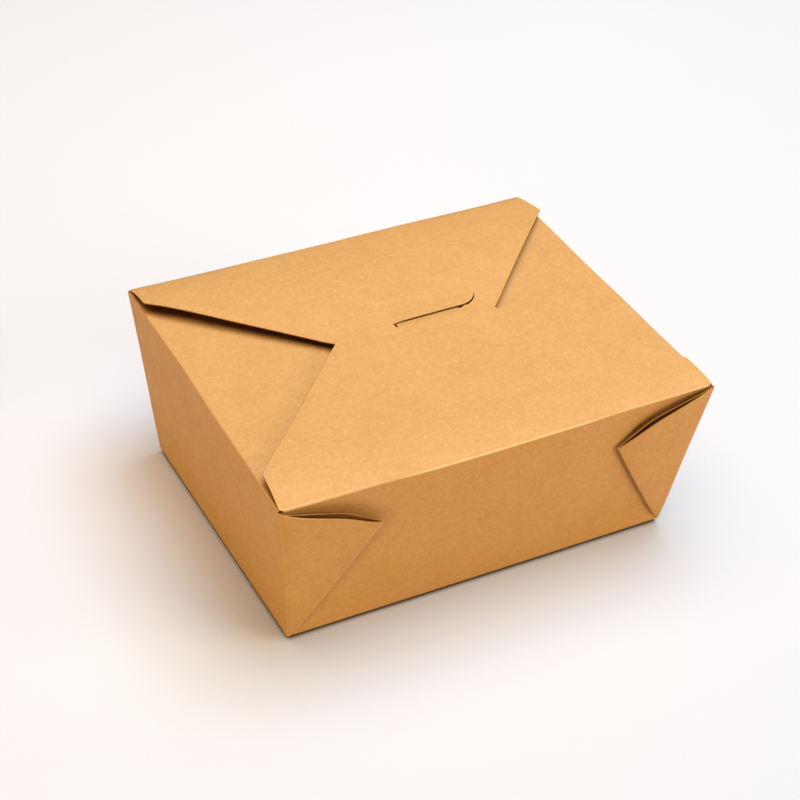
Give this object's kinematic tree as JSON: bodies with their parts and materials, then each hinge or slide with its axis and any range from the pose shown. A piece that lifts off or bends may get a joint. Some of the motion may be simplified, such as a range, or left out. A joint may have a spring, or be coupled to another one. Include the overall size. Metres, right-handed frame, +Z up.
{
  "type": "folded takeaway food box",
  "caption": "Closed kraft board food box with leaning walls, folded corner webs and a tongue-and-slit flap lock; the front top flap opens.",
  "frame": {"origin": "centre of the base on the surface the box stands on", "axes": "+X along the box's length towards the lock's hooked end, +Y from the front flap's fold towards the back flap's fold, +Z up"},
  "size_m": [0.1654, 0.1428, 0.0701],
  "materials": {
    "kraft_board": "matt unbleached kraft board"
  },
  "bodies": {
    "carton": {"carton": "kraft_board"},
    "front_flap": {"front_flap": "kraft_board"}
  },
  "joints": [
    {"name": "front_flap_fold", "type": "hinge", "parent": "carton", "child": "front_flap", "pos_m": [0, -0.069, 0.06722], "axis": [1, 0, 0], "range_deg": [0, 190]}
  ]
}
